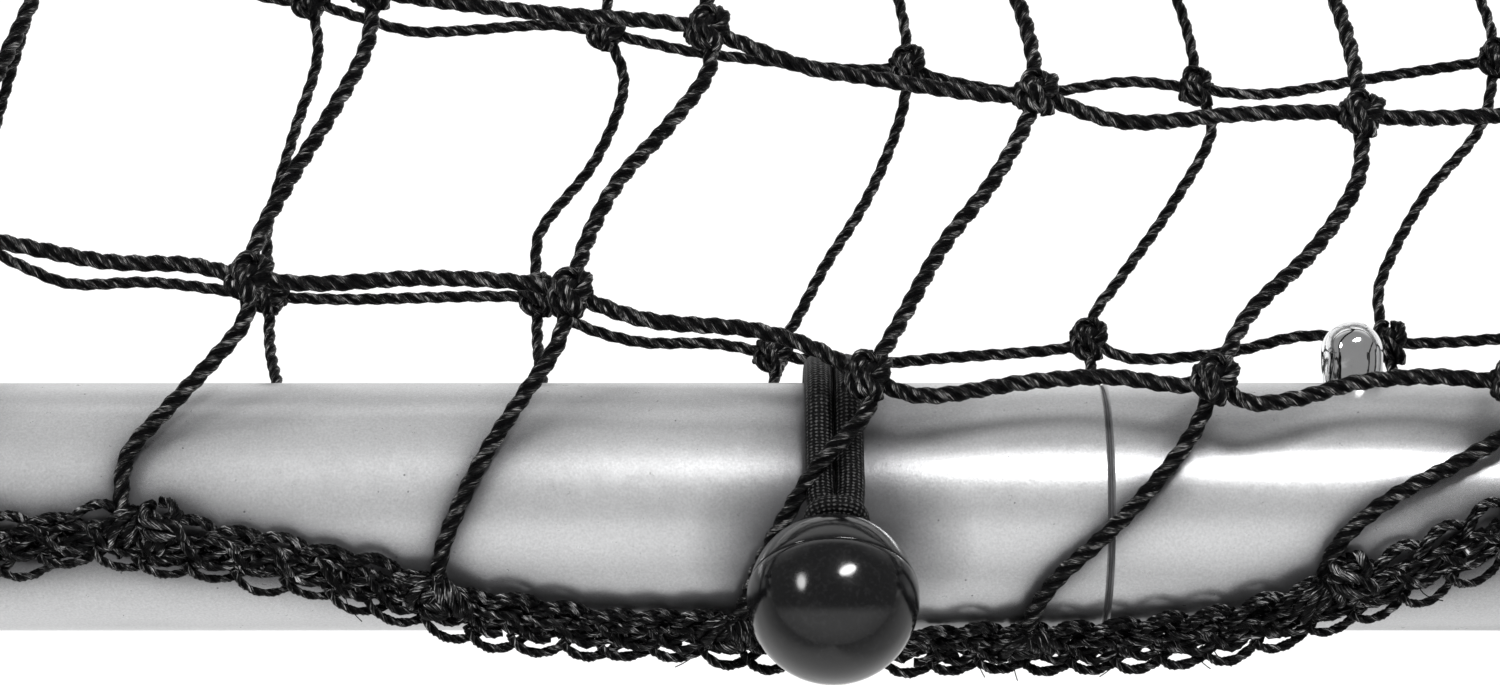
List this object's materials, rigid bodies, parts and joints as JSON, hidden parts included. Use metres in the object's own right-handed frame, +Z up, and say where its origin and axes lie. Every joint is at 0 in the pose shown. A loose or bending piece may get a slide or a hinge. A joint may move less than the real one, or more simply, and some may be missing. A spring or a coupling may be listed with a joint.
{
  "type": "roundnet set",
  "caption": "Low round net game set: a silver steel tube rim on folding legs, a knotted net in two layers, and black ball bungees that hold it.",
  "frame": {"origin": "on the ground under the middle of the rim", "axes": "+Z up; -Y is the front side of the rim, which holds a tube joint with its snap button"},
  "size_m": [0.9438, 0.9397, 0.214],
  "materials": {
    "powder_coat": "silver powder coat, satin",
    "chrome": "polished",
    "spring_steel": "satin",
    "bolt_steel": "zinc plated",
    "foot_rubber": "matt",
    "twine": "twisted polyethylene twine, glossy filaments",
    "knit": "knitted polyethylene",
    "elastic_cord": "braided sleeve over elastic",
    "ball_plastic": "gloss"
  },
  "bodies": {
    "rim": {"rim_section_1": "powder_coat", "rim_section_2": "powder_coat", "rim_section_3": "powder_coat", "rim_section_4": "powder_coat", "rim_section_5": "powder_coat", "leg_bracket_1": "powder_coat", "leg_bracket_2": "powder_coat", "leg_bracket_3": "powder_coat", "leg_bracket_4": "powder_coat", "leg_bracket_5": "powder_coat", "button_spring_1": "spring_steel", "button_spring_2": "spring_steel", "button_spring_3": "spring_steel", "button_spring_4": "spring_steel", "button_spring_5": "spring_steel", "pivot_bolts": "bolt_steel", "pivot_nuts": "bolt_steel", "net_upper": "twine", "net_lower": "twine", "edge_band_upper": "knit", "edge_band_lower": "knit", "bungee_cords": "elastic_cord", "bungee_balls": "ball_plastic"},
    "leg_1": {"leg_tube_1": "powder_coat", "leg_foot_1": "foot_rubber"},
    "leg_2": {"leg_tube_2": "powder_coat", "leg_foot_2": "foot_rubber"},
    "leg_3": {"leg_tube_3": "powder_coat", "leg_foot_3": "foot_rubber"},
    "leg_4": {"leg_tube_4": "powder_coat", "leg_foot_4": "foot_rubber"},
    "leg_5": {"leg_tube_5": "powder_coat", "leg_foot_5": "foot_rubber"},
    "button_1": {"snap_button_1": "chrome"},
    "button_2": {"snap_button_2": "chrome"},
    "button_3": {"snap_button_3": "chrome"},
    "button_4": {"snap_button_4": "chrome"},
    "button_5": {"snap_button_5": "chrome"}
  },
  "joints": [
    {"name": "leg_fold_1", "type": "hinge", "parent": "rim", "child": "leg_1", "pos_m": [0.25361, -0.34907, 0.12845], "axis": [0.809, 0.5878, 0], "range_deg": [0, 99.5]},
    {"name": "leg_fold_2", "type": "hinge", "parent": "rim", "child": "leg_2", "pos_m": [0.41036, 0.13333, 0.12845], "axis": [-0.309, 0.9511, 0], "range_deg": [0, 99.5]},
    {"name": "leg_fold_3", "type": "hinge", "parent": "rim", "child": "leg_3", "pos_m": [0, 0.43148, 0.12845], "axis": [-1, 0, 0], "range_deg": [0, 99.5]},
    {"name": "leg_fold_4", "type": "hinge", "parent": "rim", "child": "leg_4", "pos_m": [-0.41036, 0.13333, 0.12845], "axis": [-0.309, -0.9511, 0], "range_deg": [0, 99.5]},
    {"name": "leg_fold_5", "type": "hinge", "parent": "rim", "child": "leg_5", "pos_m": [-0.25361, -0.34907, 0.12845], "axis": [0.809, -0.5878, 0], "range_deg": [0, 99.5]},
    {"name": "button_press_1", "type": "slide", "parent": "rim", "child": "button_1", "axis": [0, 0.866, 0.5], "range_m": [-0.0112, 0], "stiffness_N_per_m": 1500, "springref_m": 0.003, "deforming": ["button_spring_1"]},
    {"name": "button_press_2", "type": "slide", "parent": "rim", "child": "button_2", "axis": [-0.8236, 0.2676, 0.5], "range_m": [-0.0112, 0], "stiffness_N_per_m": 1500, "springref_m": 0.003, "deforming": ["button_spring_2"]},
    {"name": "button_press_3", "type": "slide", "parent": "rim", "child": "button_3", "axis": [-0.509, -0.7006, 0.5], "range_m": [-0.0112, 0], "stiffness_N_per_m": 1500, "springref_m": 0.003, "deforming": ["button_spring_3"]},
    {"name": "button_press_4", "type": "slide", "parent": "rim", "child": "button_4", "axis": [0.509, -0.7006, 0.5], "range_m": [-0.0112, 0], "stiffness_N_per_m": 1500, "springref_m": 0.003, "deforming": ["button_spring_4"]},
    {"name": "button_press_5", "type": "slide", "parent": "rim", "child": "button_5", "axis": [0.8236, 0.2676, 0.5], "range_m": [-0.0112, 0], "stiffness_N_per_m": 1500, "springref_m": 0.003, "deforming": ["button_spring_5"]}
  ]
}
